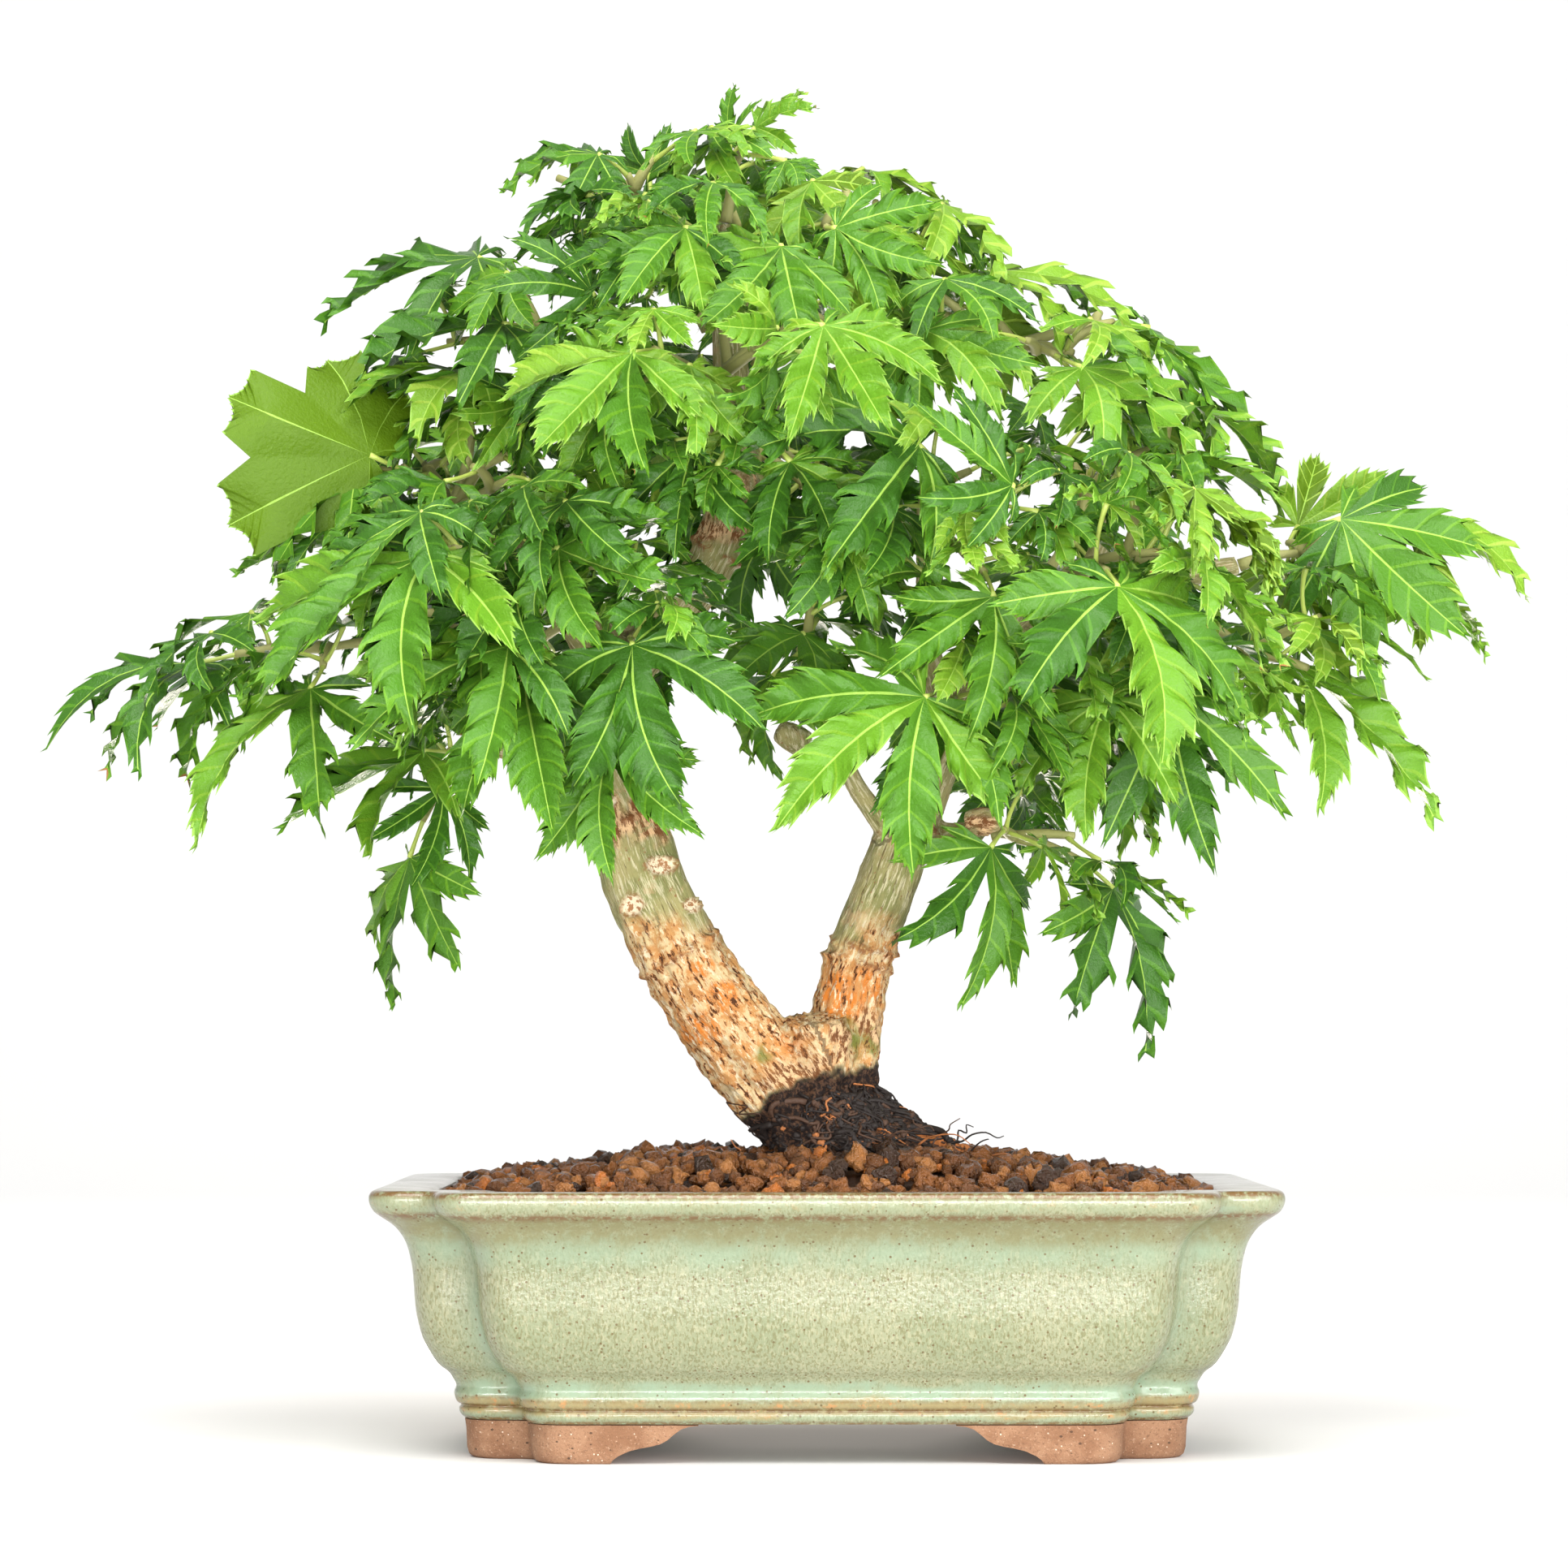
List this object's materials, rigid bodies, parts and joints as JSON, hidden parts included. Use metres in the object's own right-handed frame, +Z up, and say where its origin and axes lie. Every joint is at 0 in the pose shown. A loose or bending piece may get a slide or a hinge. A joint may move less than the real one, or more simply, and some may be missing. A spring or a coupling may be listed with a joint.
{
  "type": "potted maple bonsai",
  "caption": "Small two-stemmed maple bonsai with a spreading crown of lobed leaves, in an oblong glazed pot with cut-in corners and bracket feet.",
  "frame": {"origin": "middle of the underside of the whole object's bounding box, on the surface the pot stands on", "axes": "+Z up, +X along the pot's length to the right as seen from the front, +Y away from the front"},
  "size_m": [0.3386, 0.2102, 0.315],
  "materials": {
    "glaze": "glossy pale green celadon glaze over stoneware, finely speckled with brown",
    "stoneware": "unglazed pinkish brown stoneware, matt and gritty",
    "soil": "matt reddish brown clay granules",
    "bark": "rough grey-green to cream bark",
    "leaf": "fresh green leaves with a soft sheen"
  },
  "bodies": {
    "root": {"bough_centre_front": "bark", "bough_inner_stub": "bark", "bough_left_back": "bark", "bough_left_drop": "bark", "bough_left_front": "bark", "bough_left_low": "bark", "bough_left_mid": "bark", "bough_mid_front": "bark", "bough_right_back": "bark", "bough_right_drop": "bark", "bough_right_front": "bark", "bough_right_inner": "bark", "bough_right_low": "bark", "bough_right_main": "bark", "bough_right_outer": "bark", "bough_upper_back": "bark", "bough_upper_left": "bark", "bough_upper_right": "bark", "foot_back_left": "stoneware", "foot_back_right": "stoneware", "foot_front_left": "stoneware", "foot_front_right": "stoneware", "leaves_apex": "leaf", "leaves_back_left": "leaf", "leaves_back_left_low": "leaf", "leaves_back_right": "leaf", "leaves_back_right_low": "leaf", "leaves_centre_back": "leaf", "leaves_centre_left_front": "leaf", "leaves_centre_low": "leaf", "leaves_centre_right": "leaf", "leaves_crown_back": "leaf", "leaves_crown_front": "leaf", "leaves_crown_left": "leaf", "leaves_crown_right": "leaf", "leaves_left_drop": "leaf", "leaves_left_far": "leaf", "leaves_left_front": "leaf", "leaves_left_mid": "leaf", "leaves_low_centre": "leaf", "leaves_low_left_front": "leaf", "leaves_mid_front": "leaf", "leaves_right_drop": "leaf", "leaves_right_far": "leaf", "leaves_right_far_low": "leaf", "leaves_right_front": "leaf", "leaves_right_low": "leaf", "leaves_right_outer": "leaf", "leaves_upper_left": "leaf", "leaves_upper_right": "leaf", "pot": "glaze", "soil": "soil", "stem_left_lower": "bark", "stem_left_upper": "bark", "stem_right_lower": "bark", "stem_right_upper": "bark", "trunk": "bark", "trunk_crown": "bark", "trunk_upper": "bark"}
  },
  "joints": []
}
